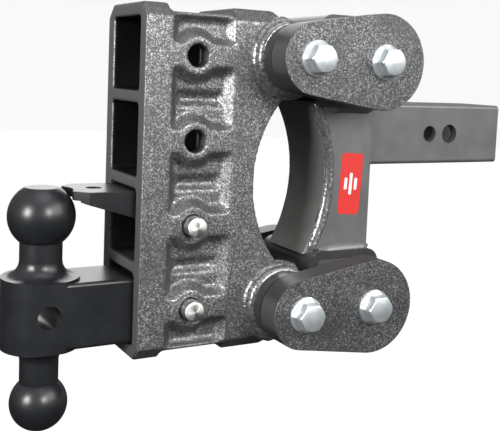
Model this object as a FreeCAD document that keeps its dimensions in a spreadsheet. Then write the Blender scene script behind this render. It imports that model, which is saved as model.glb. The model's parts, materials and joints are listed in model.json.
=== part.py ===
import FreeCAD, Part

import math
import os
import re

import Sketcher

# Torsion-cushioned drop hitch.  +X points to the tow vehicle, +Z up, and the origin is the
# centre of the receiver pin hole in the shank.  Right is -Y.

# Driving dimensions in millimetres: alias, value, meaning.
SIZES = (
    ("head_front", 333, "receiver pin hole to the front face of the head, along X"),
    ("head_drop", 44, "shank axis down to the middle of the head"),
    ("head_width", 96, "head across Y"),
    ("head_tall", 319, "head from top to bottom"),
    ("head_edge", 12, "chamfer along the head's side edges"),
    ("flange_deep", 25, "front flange of the head along X"),
    ("waist_end", 88, "front face to the rear end of the shallow notch in the top and bottom"),
    ("waist_step", 7.5, "depth of that notch"),
    ("lobe_back", 130, "front face to where the lobe's top starts down"),
    ("lobe_shoulder", 11.5, "how far the lobe's top corner is cut down at the pivot"),
    ("recess_centre", 230, "front face to the centre of the arc cut into the head's back"),
    ("recess_arc", 119.5, "radius of that arc"),
    ("recess_reach", 93, "half height of that arc's mouth"),
    ("socket_pitch", 76.2, "socket spacing"),
    ("socket_side", 65, "socket opening"),
    ("socket_corner", 3, "socket corner radius"),
    ("socket_deep", 90, "socket depth"),
    ("cross_pin_place", 50, "front face to the cross-pin holes"),
    ("cross_hole", 10.3, "radius of a cross-pin hole, for a 3/4 in pin"),
    ("boss_round", 16.5, "radius of the boss round a cross-pin hole, at its face"),
    ("boss_foot", 25, "radius of that boss at the pocket's floor"),
    ("pocket_back", 87, "front face to the rear end of the side pockets"),
    ("pocket_tall", 57, "side pocket height at its mouth"),
    ("pocket_deep", 9, "side pocket depth"),
    ("pocket_draft", 8, "run of the side pocket's sloped walls"),
    ("pocket_corner", 4, "side pocket corner radius"),
    ("end_pocket_over", 0.6, "how far the short end pockets run past the notch's face"),
    ("groove_tall", 15, "height of the groove along the side pocket's middle"),
    ("groove_deep", 5, "depth of that groove below the pocket"),
    ("pivot_place", 142, "front face to the front pivots"),
    ("pivot_reach", 116, "pivots above and below the middle of the head"),
    ("link_pitch", 76.2, "front pivot to rear pivot"),
    ("tube_round", 31.75, "outer radius of a pivot tube"),
    ("tube_bore", 22.25, "bore radius of a pivot tube"),
    ("tube_end", 71, "middle plane to the end of a pivot tube"),
    ("weld_gap", 0.1, "gap between welded pieces"),
    ("shaft_round", 19.05, "radius of a pivot shaft"),
    ("shaft_key", 24, "square end of a pivot shaft"),
    ("running_gap", 0.05, "radial running clearance"),
    ("open_gap", 0.3, "radial clearance at the lower front pivot"),
    ("bushing_deep", 25, "bushing length inside the tube"),
    ("bushing_flange", 28, "radius of a bushing's flange"),
    ("bushing_lip", 2, "thickness of a bushing's flange"),
    ("link_inside", 73.6, "middle plane to the inner face of a link"),
    ("link_thick", 25.4, "link thickness"),
    ("link_big", 45, "radius of the link's rear end"),
    ("link_small", 33, "radius of the link's front end"),
    ("key_deep", 12, "depth of the square recesses in a link"),
    ("key_gap", 0.1, "clearance round a square end, each side"),
    ("link_hole", 8.3, "radius of a bolt hole in a link"),
    ("bolt_shank", 7.9, "radius of a bolt's shank"),
    ("bolt_reach", 42, "bolt length under its flange"),
    ("bolt_flange", 16.65, "radius of a bolt's flange"),
    ("flange_thick", 3.2, "thickness of a bolt's flange"),
    ("bolt_flats", 23.8, "bolt head across its flats"),
    ("bolt_head", 11, "height of a bolt's hexagon"),
    ("tapped_hole", 8, "radius of the tapped hole in a shaft's end"),
    ("tapped_deep", 40, "depth of that hole"),
    ("housing_wide", 82, "torsion housing along X"),
    ("housing_tall", 89, "torsion housing along Z"),
    ("housing_corner", 14, "outer corner radius of a torsion housing"),
    ("housing_wall", 8, "wall of a torsion housing"),
    ("housing_half", 48, "middle plane to the end of a torsion housing"),
    ("retainer_thick", 8, "thickness of a housing retainer"),
    ("bar_side", 44, "side of the torsion bar's square"),
    ("bar_half", 39.5, "half length of that square"),
    ("journal_round", 29, "radius of the torsion bar's journals"),
    ("bar_key", 34, "square end of the torsion bar"),
    ("cord_round", 10.9, "radius of a rubber cord"),
    ("cord_gap", 0.3, "gap between a cord and the housing's walls"),
    ("cord_half", 39, "half length of a rubber cord"),
    ("plate_thick", 6, "riser side plate thickness"),
    ("riser_back", 252, "front face of the head to the rear edge of the riser"),
    ("riser_centre", 57, "front face of the head to the centre of the riser's front arcs"),
    ("riser_arc", 150, "radius of the side plates' front edges"),
    ("front_plate_thick", 8.4, "riser front plate thickness"),
    ("front_plate_wide", 67.6, "riser front plate width"),
    ("front_plate_reach", 76, "half height of the riser front plate"),
    ("rear_plate_thick", 10, "riser rear plate thickness"),
    ("shank_side", 63.5, "shank across its flats"),
    ("shank_corner", 4, "shank corner radius"),
    ("shank_wall", 9.5, "shank wall"),
    ("shank_end", 98, "receiver pin hole to the free end of the shank"),
    ("receiver_hole", 8.5, "radius of the receiver pin hole, for a 5/8 in pin"),
    ("second_hole", 10.15, "radius of the second hole in the shank"),
    ("second_place", 27.5, "receiver pin hole to the second hole"),
    ("mount_place", 73.5, "front face of the head to the ball axis, forwards"),
    ("big_ball", 29.37, "radius of the upper ball, 2 5/16 in"),
    ("big_ball_down", 31, "middle of the head down to the upper ball's centre"),
    ("big_ball_flat", 14.9, "radius of the flat on the upper ball"),
    ("big_neck", 18.5, "radius of the upper ball's neck"),
    ("small_ball", 25.4, "radius of the lower ball, 2 in"),
    ("small_ball_down", 198.6, "middle of the head down to the lower ball's centre"),
    ("small_ball_flat", 6, "radius of the flat under the lower ball"),
    ("small_neck", 17, "radius of the lower ball's neck"),
    ("barrel_round", 34.2, "radius of the ball mount's barrel"),
    ("barrel_top", 84, "middle of the head down to the top of the barrel"),
    ("barrel_foot", 147, "middle of the head down to the foot of the barrel"),
    ("barrel_flats", 63.5, "barrel across its flats"),
    ("upper_flare", 14.5, "radius of the flare under the upper neck"),
    ("lower_flare", 13, "radius of the flare over the lower neck"),
    ("mount_wide", 62, "width of the ball mount's bar"),
    ("mount_tall", 59, "height of the ball mount's bar"),
    ("mount_down", 115.8, "middle of the head down to the middle of that bar"),
    ("mount_corner", 3.5, "edge radius of that bar"),
    ("mount_deep", 84, "how far that bar reaches into its socket"),
    ("mount_cross_hole", 10.2, "radius of the hole across the barrel"),
    ("lock_top", 7.5, "middle of the head down to the top of the lock plate"),
    ("lock_tip", 51, "front face of the head to the lock plate's tip, forwards"),
    ("lock_back", 74, "front face of the head to the lock plate's rear end"),
    ("lock_wide", 60, "width of the lock plate"),
    ("lock_thick", 8, "thickness of the lock plate's top"),
    ("lock_wall", 6.5, "thickness of the lock plate's flanges"),
    ("lock_mouth_down", 31.4, "middle of the head down to the flanges at the socket's mouth"),
    ("lock_foot", 50, "middle of the head down to the flanges' foot in the socket"),
    ("lock_clip", 11, "corner cut at the lock plate's tip"),
    ("lock_hole", 7, "radius of the hole in the lock plate"),
    ("lock_hole_place", 27, "front face of the head to that hole, forwards"),
    ("lock_relief", 26.6, "radius round the ball axis cut out of the lock plate's tip"),
    ("pin_round", 9.525, "radius of a hitch pin, 3/4 in"),
    ("pin_near", 60, "middle plane to the plain end of a hitch pin"),
    ("pin_shoulder", 48.6, "middle plane to the hitch pin's head"),
    ("pin_head_round", 14, "radius of the hitch pin's head"),
    ("pin_head_thick", 9, "thickness of the hitch pin's head"),
    ("pin_chamfer", 1.4, "chamfer on a hitch pin's ends"),
    ("pin_clip_hole", 2.2, "radius of a hitch pin's clip hole"),
    ("pin_clip_place", 54, "middle plane to a hitch pin's clip hole"),
)
ALIASES = {alias for alias, _, _ in SIZES}

# Places that several sub-parts share, as expressions in the sheet's aliases.
FRONT_PIVOT_X = "-head_front + pivot_place"
REAR_PIVOT_X = "-head_front + pivot_place + link_pitch"
HEAD_MIDDLE_Z = "-head_drop"
UPPER_PIVOT_Z = "-head_drop + pivot_reach"
LOWER_PIVOT_Z = "-head_drop - pivot_reach"
LOWEST_SOCKET = "1.5 * socket_pitch"
MIDDLE_SOCKET = "0.5 * socket_pitch"
SPIGOT_END = "link_inside + key_deep - key_gap"

doc = FreeCAD.newDocument("TrailerHitch")
sheet = doc.addObject("Spreadsheet::Sheet", "Sizes")
for row, (alias, size, meaning) in enumerate(SIZES, start=1):
    sheet.set(f"A{row}", meaning)
    sheet.set(f"B{row}", str(size))
    sheet.setAlias(f"B{row}", alias)
doc.recompute()

sub_parts = {}


def bound(text):
    """An expression in which each alias refers to the sheet."""
    def refer(word):
        return "Sizes." + word[0] if word[0] in ALIASES else word[0]
    return re.sub(r"[a-z]+(?:_[a-z]+)*", refer, str(text))


def value(text):
    """An expression's present value."""
    return float(sheet.evalExpression(bound(text)))


def new_body(label, place=("0", "0", "0")):
    """A body with its own label, placed by expressions."""
    body = doc.addObject("PartDesign::Body", label)
    body.Label = label
    for axis, text in zip("xyz", place):
        body.setExpression(f"Placement.Base.{axis}", bound(text))
    sub_parts[label] = body
    return body


def origin_feature(body, role):
    """One of the body's own origin planes or axes."""
    return next(f for f in body.Origin.OriginFeatures if f.Role == role)


def new_sketch(body, name, role, offset="0"):
    """A sketch on one of the body's origin planes, moved along the plane's normal."""
    sketch = body.newObject("Sketcher::SketchObject", f"{body.Label}_{name}")
    sketch.AttachmentSupport = (origin_feature(body, role), [""])
    sketch.MapMode = "FlatFace"
    sketch.setExpression("AttachmentOffset.Base.z", bound(offset))
    return sketch


def constrain(sketch, kind, text, *target):
    """A dimension of the sketch, bound to an expression."""
    index = sketch.addConstraint(Sketcher.Constraint(kind, *target, value(text)))
    sketch.setExpression(f"Constraints[{index}]", bound(text))


def fix_point(sketch, edge, end, across, along):
    """Both coordinates of one end or centre."""
    constrain(sketch, "DistanceX", across, edge, end)
    constrain(sketch, "DistanceY", along, edge, end)


def add_circle(sketch, across, along, radius):
    """A circle with its centre and radius bound."""
    centre = FreeCAD.Vector(value(across), value(along), 0)
    edge = sketch.addGeometry(Part.Circle(centre, FreeCAD.Vector(0, 0, 1), value(radius)), False)
    fix_point(sketch, edge, 3, across, along)
    constrain(sketch, "Radius", radius, edge)


def arc_between(start, end, radius, turn):
    """The short arc from start to end, and whether it runs clockwise (turn is -1)."""
    chord = end - start
    rise = math.sqrt(radius ** 2 - (chord.Length / 2) ** 2)
    normal = FreeCAD.Vector(-chord.y, chord.x, 0).normalize()
    centre = (start + end) * 0.5 + normal * rise * turn
    first, last = (start, end) if turn > 0 else (end, start)
    angles = [math.atan2(p.y - centre.y, p.x - centre.x) for p in (first, last)]
    circle = Part.Circle(centre, FreeCAD.Vector(0, 0, 1), radius)
    return Part.ArcOfCircle(circle, angles[0], angles[1])


def add_outline(sketch, corners):
    """A closed outline through corners given as (across, along) or
    (across, along, radius, turn), where the arc runs from that corner to the next."""
    points = [FreeCAD.Vector(value(c[0]), value(c[1]), 0) for c in corners]
    ends = []
    for index, corner in enumerate(corners):
        start = points[index]
        end = points[(index + 1) % len(points)]
        if len(corner) == 2:
            edge = sketch.addGeometry(Part.LineSegment(start, end), False)
            ends.append((edge, 1, 2))
        else:
            arc = arc_between(start, end, value(corner[2]), corner[3])
            edge = sketch.addGeometry(arc, False)
            ends.append((edge, 1, 2) if corner[3] > 0 else (edge, 2, 1))
    for index, corner in enumerate(corners):
        edge, start, end = ends[index]
        after = ends[(index + 1) % len(ends)]
        sketch.addConstraint(Sketcher.Constraint("Coincident", edge, end, after[0], after[1]))
        fix_point(sketch, edge, start, corner[0], corner[1])
        if len(corner) > 2:
            constrain(sketch, "Radius", corner[2], edge)


def add_rectangle(sketch, across, along, wide, tall, radius=None):
    """A rectangle centred on (across, along), its corners rounded if a radius is given."""
    left, right = f"{across} - ({wide}) / 2", f"{across} + ({wide}) / 2"
    low, high = f"{along} - ({tall}) / 2", f"{along} + ({tall}) / 2"
    if radius is None:
        add_outline(sketch, ((left, low), (right, low), (right, high), (left, high)))
        return
    add_outline(sketch, (
        (f"{left} + {radius}", low),
        (f"{right} - {radius}", low, radius, 1),
        (right, f"{low} + {radius}"),
        (right, f"{high} - {radius}", radius, 1),
        (f"{right} - {radius}", high),
        (f"{left} + {radius}", high, radius, 1),
        (left, f"{high} - {radius}"),
        (left, f"{low} + {radius}", radius, 1),
    ))


def add_diamond(sketch, side):
    """A square of the given side, standing on its corner."""
    reach = f"({side}) / sqrt(2)"
    add_outline(sketch, (("0", f"-{reach}"), (reach, "0"), ("0", reach), (f"-{reach}", "0")))


def extrude(kind, sketch, length, symmetric=True):
    """A pad or pocket of the sketch, symmetric about its plane unless told otherwise."""
    body = sketch.getParentGeoFeatureGroup()
    feature = body.newObject(f"PartDesign::{kind}", f"{sketch.Name}_{kind.lower()}")
    feature.Profile = sketch
    feature.SideType = "Symmetric" if symmetric else "One side"
    feature.setExpression("Length", bound(length))
    return feature


def pad(sketch, length, symmetric=True):
    return extrude("Pad", sketch, length, symmetric)


def pocket(sketch, length):
    return extrude("Pocket", sketch, length)


def revolve(sketch, axis):
    """A full turn of the sketch about one of its own axes, H_Axis or V_Axis."""
    body = sketch.getParentGeoFeatureGroup()
    feature = body.newObject("PartDesign::Revolution", f"{sketch.Name}_turned")
    feature.Profile = sketch
    feature.ReferenceAxis = (sketch, [axis])
    feature.Angle = 360
    return feature


def mirror_to_left(body, features):
    """The features again on the other side of the middle plane."""
    feature = body.newObject("PartDesign::Mirrored", f"{body.Label}_mirrored")
    feature.Originals = features
    feature.MirrorPlane = (origin_feature(body, "XZ_Plane"), [""])
    body.Tip = feature


# ---- Frame: shank, riser and torsion housings -------------------------------------------

def make_shank():
    """Heavy-wall square tube, butted to the riser and relieved at the upper housing."""
    body = new_body("receiver_shank")
    start = "-head_front + riser_back + weld_gap"
    section = new_sketch(body, "section", "YZ_Plane", start)
    bore = "shank_side - 2 * shank_wall"
    add_rectangle(section, "0", "0", "shank_side", "shank_side", "shank_corner")
    add_rectangle(section, "0", "0", bore, bore, "shank_corner / 2")
    pad(section, f"shank_end - ({start})", symmetric=False)
    holes = new_sketch(body, "holes", "XZ_Plane")
    add_circle(holes, "0", "0", "receiver_hole")
    add_circle(holes, "second_place", "0", "second_hole")
    pocket(holes, "2 * shank_side")
    relief = new_sketch(body, "relief", "XZ_Plane")
    corner_x = f"{REAR_PIVOT_X} + housing_wide / 2 - housing_corner"
    corner_z = f"{UPPER_PIVOT_Z} - housing_tall / 2 + housing_corner"
    add_circle(relief, corner_x, corner_z, "housing_corner + 5 * weld_gap")
    pocket(relief, "2 * shank_side")


def make_side_plate(label, side):
    """Riser side plate with its concave front edge."""
    across = f"{side} * (shank_side + plate_thick) / 2"
    body = new_body(label, ("-head_front", across, HEAD_MIDDLE_Z))
    high = "(pivot_reach - housing_tall / 2 - weld_gap)"
    front = f"riser_centre + sqrt(riser_arc ^ 2 - {high} ^ 2)"
    outline = new_sketch(body, "outline", "XZ_Plane")
    add_outline(outline, (
        (front, f"-{high}", "riser_arc", 1),
        (front, high),
        ("riser_back", high),
        ("riser_back", f"-{high}"),
    ))
    pad(outline, "plate_thick - 2 * weld_gap")


def make_front_plate():
    """Curved plate on the side plates' front edges, relieved round the housings' corners."""
    body = new_body("riser_front_plate", ("-head_front", "0", HEAD_MIDDLE_Z))
    inner = "(riser_arc - front_plate_thick)"
    outer = "(riser_arc - weld_gap)"
    inner_x = f"riser_centre + sqrt({inner} ^ 2 - front_plate_reach ^ 2)"
    outer_x = f"riser_centre + sqrt({outer} ^ 2 - front_plate_reach ^ 2)"
    outline = new_sketch(body, "outline", "XZ_Plane")
    add_outline(outline, (
        (inner_x, "-front_plate_reach"),
        (outer_x, "-front_plate_reach", outer, 1),
        (outer_x, "front_plate_reach"),
        (inner_x, "front_plate_reach", inner, -1),
    ))
    pad(outline, "front_plate_wide")
    relief = new_sketch(body, "relief", "XZ_Plane")
    corner_x = "pivot_place + link_pitch - housing_wide / 2 + housing_corner"
    corner_z = "(pivot_reach - housing_tall / 2 + housing_corner)"
    add_circle(relief, corner_x, corner_z, "housing_corner + weld_gap")
    add_circle(relief, corner_x, f"-{corner_z}", "housing_corner + weld_gap")
    pocket(relief, "2 * front_plate_wide")


def make_rear_plate():
    """Plain plate that closes the riser between its side plates."""
    plate = doc.addObject("Part::Box", "riser_rear_plate")
    plate.Label = "riser_rear_plate"
    tall = "2 * (pivot_reach - housing_tall / 2 - weld_gap)"
    wide = "shank_side - 2 * weld_gap"
    plate.setExpression("Length", bound("rear_plate_thick"))
    plate.setExpression("Width", bound(wide))
    plate.setExpression("Height", bound(tall))
    plate.setExpression("Placement.Base.x", bound("-head_front + riser_back - rear_plate_thick"))
    plate.setExpression("Placement.Base.y", bound(f"-({wide}) / 2"))
    plate.setExpression("Placement.Base.z", bound(f"{HEAD_MIDDLE_Z} - ({tall}) / 2"))
    sub_parts[plate.Label] = plate


HOUSING_BORE_WIDE = "housing_wide - 2 * housing_wall"
HOUSING_BORE_TALL = "housing_tall - 2 * housing_wall"
HOUSING_BORE_CORNER = "(housing_corner - housing_wall)"


def make_housing(level, height):
    """Formed tube across the hitch."""
    body = new_body(f"{level}_torsion_housing", (REAR_PIVOT_X, "0", height))
    section = new_sketch(body, "section", "XZ_Plane")
    add_rectangle(section, "0", "0", "housing_wide", "housing_tall", "housing_corner")
    add_rectangle(section, "0", "0", HOUSING_BORE_WIDE, HOUSING_BORE_TALL, HOUSING_BORE_CORNER)
    pad(section, "2 * housing_half")


def make_retainers(level, height):
    """Two ring plates in the housing's mouths, which carry the torsion bar's journals."""
    body = new_body(f"{level}_housing_retainers", (REAR_PIVOT_X, "0", height))
    ring = new_sketch(body, "ring", "XZ_Plane", "housing_half - retainer_thick / 2")
    wide = f"{HOUSING_BORE_WIDE} - 2 * weld_gap"
    tall = f"{HOUSING_BORE_TALL} - 2 * weld_gap"
    add_rectangle(ring, "0", "0", wide, tall, HOUSING_BORE_CORNER)
    add_circle(ring, "0", "0", "journal_round + running_gap")
    mirror_to_left(body, [pad(ring, "retainer_thick")])


def make_cords(level, height):
    """Four rubber cords between the bar's flats and the housing's corners."""
    body = new_body(f"{level}_rubber_cords", (REAR_PIVOT_X, "0", height))
    across = f"(({HOUSING_BORE_WIDE}) / 2 - cord_gap - cord_round)"
    along = f"(({HOUSING_BORE_TALL}) / 2 - cord_gap - cord_round)"
    section = new_sketch(body, "section", "XZ_Plane")
    for side in (1, -1):
        for end in (1, -1):
            add_circle(section, f"{side} * {across}", f"{end} * {along}", "cord_round")
    pad(section, "2 * cord_half")


# ---- Arms: links, torsion bars, pivot shafts and bolts ----------------------------------

def make_link(label, side, height):
    """Tapered plate with keyed recesses for the bar and the shaft on its inner face."""
    middle = f"{side} * (link_inside + link_thick / 2)"
    body = new_body(label, (REAR_PIVOT_X, middle, height))
    lean = "((link_big - link_small) / link_pitch)"
    square = f"sqrt(1 - {lean} ^ 2)"
    big_x, big_z = f"-link_big * {lean}", f"link_big * {square}"
    small_x, small_z = f"-link_pitch - link_small * {lean}", f"link_small * {square}"
    outline = new_sketch(body, "outline", "XZ_Plane")
    add_outline(outline, (
        (big_x, f"-{big_z}", "link_big", 1),
        ("link_big", "0", "link_big", 1),
        (big_x, big_z),
        (small_x, small_z, "link_small", 1),
        ("-link_pitch - link_small", "0", "link_small", 1),
        (small_x, f"-{small_z}"),
    ))
    pad(outline, "link_thick")
    holes = new_sketch(body, "holes", "XZ_Plane")
    add_circle(holes, "0", "0", "link_hole")
    add_circle(holes, "-link_pitch", "0", "link_hole")
    pocket(holes, "2 * link_thick")
    # The plane's normal is -Y, so the inner face of the right link is on its negative side.
    bar_recess = new_sketch(body, "bar_recess", "XZ_Plane", f"{side} * link_thick / 2")
    add_diamond(bar_recess, "bar_key + 2 * key_gap")
    pocket(bar_recess, "2 * key_deep")
    shaft_recess = new_sketch(body, "shaft_recess", "XZ_Plane", f"{side} * link_thick / 2")
    shaft_side = "shaft_key + 2 * key_gap"
    add_rectangle(shaft_recess, "-link_pitch", "0", shaft_side, shaft_side)
    pocket(shaft_recess, "2 * key_deep")


def tap_ends(body):
    """Tapped holes in both ends of a bar or shaft."""
    for name, side in (("right_tap", 1), ("left_tap", -1)):
        tap = new_sketch(body, name, "XZ_Plane", f"{side} * ({SPIGOT_END})")
        add_circle(tap, "0", "0", "tapped_hole")
        pocket(tap, "2 * tapped_deep")


def make_torsion_bar(level, height):
    """Square bar on its corner, with round journals and square ends."""
    body = new_body(f"{level}_torsion_bar", (REAR_PIVOT_X, "0", height))
    core = new_sketch(body, "core", "XZ_Plane")
    add_diamond(core, "bar_side")
    pad(core, "2 * bar_half")
    for name, side in (("right_journal", 1), ("left_journal", -1)):
        middle = f"{side} * (link_inside - weld_gap + bar_half) / 2"
        journal = new_sketch(body, name, "XZ_Plane", middle)
        add_circle(journal, "0", "0", "journal_round")
        pad(journal, "link_inside - weld_gap - bar_half")
    key = new_sketch(body, "key", "XZ_Plane")
    add_diamond(key, "bar_key")
    pad(key, f"2 * ({SPIGOT_END})")
    tap_ends(body)


def make_pivot_shaft(level, height):
    """Round shaft with square ends, in the head's bushings."""
    body = new_body(f"{level}_pivot_shaft", (FRONT_PIVOT_X, "0", height))
    shaft = new_sketch(body, "round", "XZ_Plane")
    add_circle(shaft, "0", "0", "shaft_round")
    pad(shaft, "2 * (link_inside - weld_gap)")
    key = new_sketch(body, "key", "XZ_Plane")
    add_rectangle(key, "0", "0", "shaft_key", "shaft_key")
    pad(key, f"2 * ({SPIGOT_END})")
    tap_ends(body)


def add_hexagon(sketch, across, flats):
    """A hexagon with two flats upright, centred on (across, 0)."""
    half = f"({flats}) / 2"
    add_outline(sketch, [
        (f"{across} + ({half}) * {c}", f"({half}) * {s}") for c, s in (
            ("1", "tan(30)"), ("0", "2 / sqrt(3)"), ("-1", "tan(30)"),
            ("-1", "-tan(30)"), ("0", "-2 / sqrt(3)"), ("1", "-tan(30)"),
        )
    ])


def make_link_bolts(level, height):
    """Four flange bolts, one at each end of each link."""
    body = new_body(f"{level}_link_bolts", (REAR_PIVOT_X, "0", height))
    face = "link_inside + link_thick"
    stages = (
        ("shank", f"{face} - bolt_reach / 2", "bolt_reach"),
        ("flange", f"{face} + flange_thick / 2", "flange_thick"),
        ("hexagon", f"{face} + flange_thick + bolt_head / 2", "bolt_head"),
    )
    made = []
    for name, middle, length in stages:
        sketch = new_sketch(body, name, "XZ_Plane", middle)
        for across in ("0", "-link_pitch"):
            if name == "hexagon":
                add_hexagon(sketch, across, "bolt_flats")
            elif name == "flange":
                add_circle(sketch, across, "0", "bolt_flange")
            else:
                add_circle(sketch, across, "0", "bolt_shank")
        made.append(pad(sketch, length))
    mirror_to_left(body, made)


# ---- Head: forging, pivot tubes, bushings, ball mount and lock --------------------------

def make_head():
    """Forging with four sockets, cross-pin bosses and drafted side pockets."""
    body = new_body("receiver_head", ("-head_front", "0", HEAD_MIDDLE_Z))
    top = "head_tall / 2"
    waist = "(head_tall / 2 - waist_step)"
    shoulder = "(head_tall / 2 - lobe_shoulder)"
    back = "recess_centre - sqrt(recess_arc ^ 2 - recess_reach ^ 2)"
    profile = new_sketch(body, "profile", "XZ_Plane")
    add_outline(profile, (
        ("0", f"-{top}"),
        ("flange_deep", f"-{top}"),
        ("flange_deep", f"-{waist}"),
        ("waist_end", f"-{waist}"),
        ("waist_end", f"-{top}"),
        ("lobe_back", f"-{top}"),
        ("pivot_place", f"-{shoulder}"),
        (back, "-recess_reach", "recess_arc", -1),
        (back, "recess_reach"),
        ("pivot_place", shoulder),
        ("lobe_back", top),
        ("waist_end", top),
        ("waist_end", waist),
        ("flange_deep", waist),
        ("flange_deep", top),
        ("0", top),
    ))
    pad(profile, "head_width")
    edges = new_sketch(body, "edges", "YZ_Plane")
    for side in (1, -1):
        for end in (1, -1):
            add_outline(edges, [
                (f"{side} * ({across})", f"{end} * ({along})") for across, along in (
                    ("head_width / 2 - head_edge - 1", f"{top} + 1"),
                    ("head_width / 2 + 1", f"{top} - head_edge - 1"),
                    ("head_width / 2 + 1", f"{top} + 1"),
                )
            ])
    pocket(edges, "4 * pivot_place")
    for name, side in (("right", 1), ("left", -1)):
        add_side_pockets(body, name, side)
        add_bosses(body, name, side)
    holes = new_sketch(body, "holes", "XZ_Plane")
    for step in (-1.5, -0.5, 0.5, 1.5):
        add_circle(holes, "cross_pin_place", f"{step} * socket_pitch", "cross_hole")
    sockets = new_sketch(body, "sockets", "YZ_Plane")
    for step in (-1.5, -0.5, 0.5, 1.5):
        middle = f"{step} * socket_pitch"
        add_rectangle(sockets, "0", middle, "socket_side", "socket_side", "socket_corner")
    pocket(sockets, "2 * socket_deep")
    pocket(holes, "2 * head_width")
    bores = new_sketch(body, "bores", "XZ_Plane")
    for end in (1, -1):
        add_circle(bores, "pivot_place", f"{end} * pivot_reach", "tube_round + weld_gap")
    pocket(bores, "2 * head_width")


def add_side_pockets(body, name, side):
    """Three pockets up one side, each with a deeper groove, and a short one at each end."""
    middle = "(flange_deep + pocket_back) / 2"
    wide = "(pocket_back - flange_deep) - 2 * pocket_draft"
    floor = "head_width / 2 - pocket_deep"
    recess = cut_pocket(body, f"{name}_pocket", side, "-socket_pitch", "pocket_tall")
    lip = new_sketch(body, f"{name}_lip", "XZ_Plane", f"{side} * ({floor})")
    add_rectangle(lip, middle, "-socket_pitch", wide, "groove_tall")
    keel = new_sketch(body, f"{name}_keel", "XZ_Plane", f"{side} * ({floor} - groove_deep)")
    add_rectangle(keel, middle, "-socket_pitch", f"{wide} - 2 * groove_deep", "groove_tall / 4")
    groove = loft(body, "Subtractive", f"{name}_groove", lip, keel)
    repeat_upwards(body, f"{name}_pocket_row", [recess, groove], 3)
    inner_end = "(2 * socket_pitch - pocket_tall / 2)"
    outer_end = "(head_tall / 2 - waist_step + end_pocket_over)"
    for end_name, end in (("top", 1), ("foot", -1)):
        centre = f"{end} * ({inner_end} + {outer_end}) / 2"
        tall = f"{outer_end} - {inner_end}"
        cut_pocket(body, f"{name}_{end_name}_pocket", side, centre, tall)


def cut_pocket(body, name, side, centre, tall):
    """One pocket with drafted walls in a side of the head."""
    middle = "(flange_deep + pocket_back) / 2"
    wide = "(pocket_back - flange_deep)"
    face, floor = "head_width / 2", "head_width / 2 - pocket_deep"
    mouth = new_sketch(body, f"{name}_mouth", "XZ_Plane", f"{side} * ({face})")
    add_rectangle(mouth, middle, centre, wide, tall, "pocket_corner")
    bed = new_sketch(body, f"{name}_bed", "XZ_Plane", f"{side} * ({floor})")
    bed_wide, bed_tall = f"{wide} - 2 * pocket_draft", f"{tall} - 2 * pocket_draft"
    add_rectangle(bed, middle, centre, bed_wide, bed_tall, "pocket_corner")
    return loft(body, "Subtractive", name, mouth, bed)


def add_bosses(body, name, side):
    """Four bosses up one side, flared towards the pockets' floor."""
    start = "-1.5 * socket_pitch"
    face = new_sketch(body, f"{name}_boss_face", "XZ_Plane", f"{side} * head_width / 2")
    add_circle(face, "cross_pin_place", start, "boss_round")
    floor = "head_width / 2 - pocket_deep"
    foot = new_sketch(body, f"{name}_boss_foot", "XZ_Plane", f"{side} * ({floor})")
    add_circle(foot, "cross_pin_place", start, "boss_foot")
    boss = loft(body, "Additive", f"{name}_boss", face, foot)
    repeat_upwards(body, f"{name}_boss_row", [boss], 4)


def loft(body, kind, name, first, second):
    """A feature that tapers from one sketch to the other."""
    feature = body.newObject(f"PartDesign::{kind}Loft", name)
    feature.Profile = first
    feature.Sections = [second]
    feature.Ruled = True
    return feature


def repeat_upwards(body, name, features, count):
    """Copies of the features at every socket pitch above the first."""
    row = body.newObject("PartDesign::LinearPattern", name)
    row.Originals = features
    row.Direction = (origin_feature(body, "Z_Axis"), [""])
    row.setExpression("Length", bound(f"{count - 1} * socket_pitch"))
    row.Occurrences = count
    body.Tip = row


def make_pivot_tube(level, height):
    """Round tube welded through the head's lobe."""
    body = new_body(f"{level}_pivot_tube", (FRONT_PIVOT_X, "0", height))
    section = new_sketch(body, "section", "XZ_Plane")
    add_circle(section, "0", "0", "tube_round")
    add_circle(section, "0", "0", "tube_bore")
    pad(section, "2 * tube_end")


def make_bushings(level, height, gap):
    """Two flanged bushings in the tube's mouths."""
    body = new_body(f"{level}_pivot_bushings", (FRONT_PIVOT_X, "0", height))
    sleeve = new_sketch(body, "sleeve", "XZ_Plane", "tube_end - bushing_deep / 2")
    add_circle(sleeve, "0", "0", "tube_bore - weld_gap")
    add_circle(sleeve, "0", "0", f"shaft_round + {gap}")
    sleeve_pad = pad(sleeve, "bushing_deep + 2 * weld_gap")
    lip = new_sketch(body, "lip", "XZ_Plane", "tube_end + weld_gap + bushing_lip / 2")
    add_circle(lip, "0", "0", "bushing_flange")
    add_circle(lip, "0", "0", f"shaft_round + {gap}")
    mirror_to_left(body, [sleeve_pad, pad(lip, "bushing_lip")])


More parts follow.
